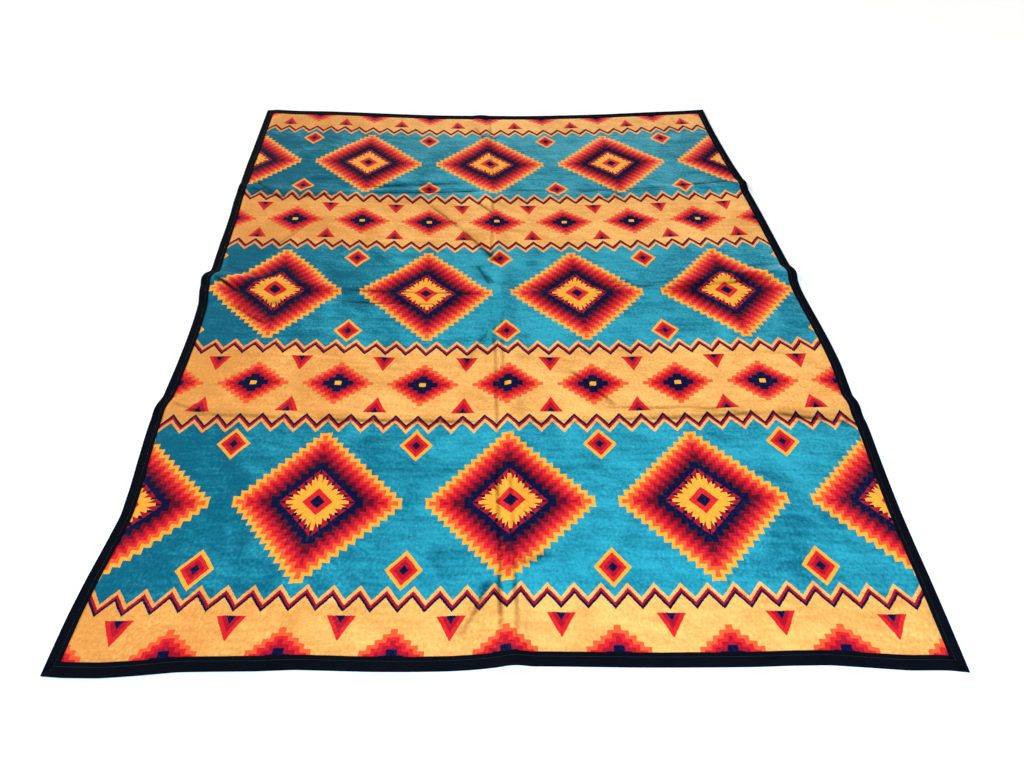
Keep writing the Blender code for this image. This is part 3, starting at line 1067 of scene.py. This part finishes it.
class BlanketPrint(PropertyGroup):
    repeats: IntProperty(
        name="Repeats", description="Large diamonds over the cut's width", default=4, min=1
    )
    # The flat and lit copies of each ground are painted shade and painted light on the print
    field: colour_setting("Field", "Wide fields, where the pile lies flat", (0, 85, 104))
    lit_field: colour_setting("Lit Field", "Wide fields, where the pile stands up", (34, 138, 153))
    band: colour_setting("Band", "Crosswise bands, where the pile lies flat", (206, 134, 62))
    lit_band: colour_setting("Lit Band", "Crosswise bands, where the pile stands up", (223, 160, 85))
    yellow: colour_setting("Yellow", "Lightest ink", (224, 146, 44))
    orange: colour_setting("Orange", "Ink next to the yellow", (214, 78, 38))
    red: colour_setting("Red", "Middle ink", (194, 26, 30))
    crimson: colour_setting("Crimson", "Ink next to the darkest reds", (150, 10, 32))
    maroon: colour_setting("Maroon", "Darkest red", (88, 6, 24))
    navy: colour_setting("Navy", "Darkest ink", (4, 8, 42))
    # The pale pile colour serves the painted sheen on the pile's tips and the paler underside
    pale: colour_setting("Pale Pile", "Colour of the frosted tips of the pile", (196, 208, 208))


class BlanketBinding(PropertyGroup):
    tape: length_setting("Tape", "Thickness of the tape", 1.2 * MM)
    width: length_setting("Width", "What shows of the tape on each face", 32 * MM)
    cell: length_setting("Cell", "Mesh spacing along the tape", 9.0 * MM)
    waver: length_setting("Waver", "How far the inner edge strays", 0.7 * MM)
    rib: length_setting("Rib", "Spacing of the weave's ribs", 1.6 * MM)
    seam_inset: length_setting("Seam Inset", "From the outer fold to the stitches", 22 * MM)
    seam_dip: length_setting("Seam Dip", "How deep the stitches pull the tape in", 0.5 * MM)
    stitch_pitch: length_setting("Stitch Pitch", "From one stitch to the next", 4.6 * MM)
    stitch_length: length_setting("Stitch Length", "Length of a stitch", 3.9 * MM)
    thread: length_setting("Thread", "Thickness of the thread", 0.6 * MM)
    tape_colour: colour_setting("Tape Colour", "Colour of the tape", (7, 9, 15))
    thread_colour: colour_setting("Thread Colour", "Colour of the thread", (14, 16, 23))


class BlanketStage(PropertyGroup):
    floor_width: length_setting("Floor Width", "Width of the round floor", 40.0)
    floor_colour: colour_setting("Floor Colour", "Colour of the floor", (247, 247, 248))
    window_light: number_setting("Window Light", "Strength of the low light from the far left", 3.75)
    room_power: number_setting("Room Light", "Power of the light near the camera", 108.0, unit="POWER")
    surroundings: number_setting("Surroundings", "Brightness of the surroundings", 0.62, min=0.0)


class BLANKET_OT_stage(Operator):
    """Add the camera, the floor and the lights"""

    bl_idname = "blanket.stage"
    bl_label = "Stage"

    def execute(self, context):
        make_stage(context.scene)
        return {"FINISHED"}


class BLANKET_OT_panel(Operator):
    """Make the printed plush cloth with its folds and creases"""

    bl_idname = "blanket.panel"
    bl_label = "Plush Cloth"

    def execute(self, context):
        make_panel(context.scene)
        return {"FINISHED"}


class BLANKET_OT_binding(Operator):
    """Make the four mitred strips of the tape binding"""

    bl_idname = "blanket.binding"
    bl_label = "Binding Tape"

    STRIPS = (
        # node, lengthwise, side
        ("binding_front", False, -1),
        ("binding_back", False, 1),
        ("binding_left", True, -1),
        ("binding_right", True, 1),
    )

    def execute(self, context):
        binding = context.scene.blanket_binding
        skin = tape_finish(binding.tape_colour, binding.rib)
        for name, lengthwise, side in self.STRIPS:
            make_strip(context.scene, name, lengthwise, side, skin)
        return {"FINISHED"}


class BLANKET_OT_stitches(Operator):
    """Sew the stitches on both faces of the binding"""

    bl_idname = "blanket.stitches"
    bl_label = "Binding Stitches"

    def execute(self, context):
        make_stitches(context.scene)
        return {"FINISHED"}


class BLANKET_PT_panel(Panel):
    """Settings and steps of the blanket"""

    bl_label = "Blanket"
    bl_idname = "BLANKET_PT_panel"
    bl_space_type = "VIEW_3D"
    bl_region_type = "UI"
    bl_category = "Blanket"

    def draw(self, context):
        for name in SETTINGS:
            box = self.layout.box()
            group = getattr(context.scene, name)
            for setting in group.bl_rna.properties:
                if setting.identifier not in ("rna_type", "name"):
                    box.prop(group, setting.identifier)
        for operator in OPERATORS:
            self.layout.operator(operator.bl_idname)


SETTINGS = {
    "blanket_cloth": BlanketCloth,
    "blanket_print": BlanketPrint,
    "blanket_binding": BlanketBinding,
    "blanket_stage": BlanketStage,
}
OPERATORS = (BLANKET_OT_stage, BLANKET_OT_panel, BLANKET_OT_binding, BLANKET_OT_stitches)


def register():
    for name, group in SETTINGS.items():
        bpy.utils.register_class(group)
        setattr(bpy.types.Scene, name, PointerProperty(type=group))
    for kind in (*OPERATORS, BLANKET_PT_panel):
        bpy.utils.register_class(kind)


def unregister():
    for kind in (BLANKET_PT_panel, *OPERATORS[::-1]):
        bpy.utils.unregister_class(kind)
    for name, group in SETTINGS.items():
        delattr(bpy.types.Scene, name)
        bpy.utils.unregister_class(group)


def main():
    register()
    bpy.ops.blanket.stage()
    bpy.ops.blanket.panel()
    bpy.ops.blanket.binding()
    bpy.ops.blanket.stitches()


if __name__ == "__main__":
    main()
